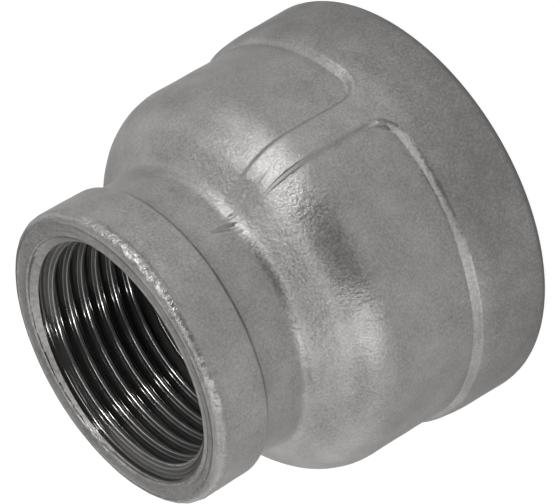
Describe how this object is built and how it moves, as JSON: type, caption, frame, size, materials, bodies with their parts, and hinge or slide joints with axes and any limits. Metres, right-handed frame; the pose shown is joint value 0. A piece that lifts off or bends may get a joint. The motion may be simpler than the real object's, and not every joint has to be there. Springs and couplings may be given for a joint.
{
  "type": "reducing pipe coupling",
  "caption": "Cast stainless reducing coupling with internal pipe threads at both ends, joining a larger pipe to a smaller one in line.",
  "frame": {"origin": "centre of the large end's flat face, on the bore's axis, at the bottom of the part", "axes": "+Z along the bore from the large end up to the small end; one casting rib lies 24 degrees from +X towards +Y, the other opposite it"},
  "size_m": [0.0562, 0.0562, 0.0476],
  "materials": {
    "cast_stainless": "matt blasted and pickled casting skin; machined threads and mouths"
  },
  "bodies": {
    "root": {"coupling_body": "cast_stainless"}
  },
  "joints": []
}
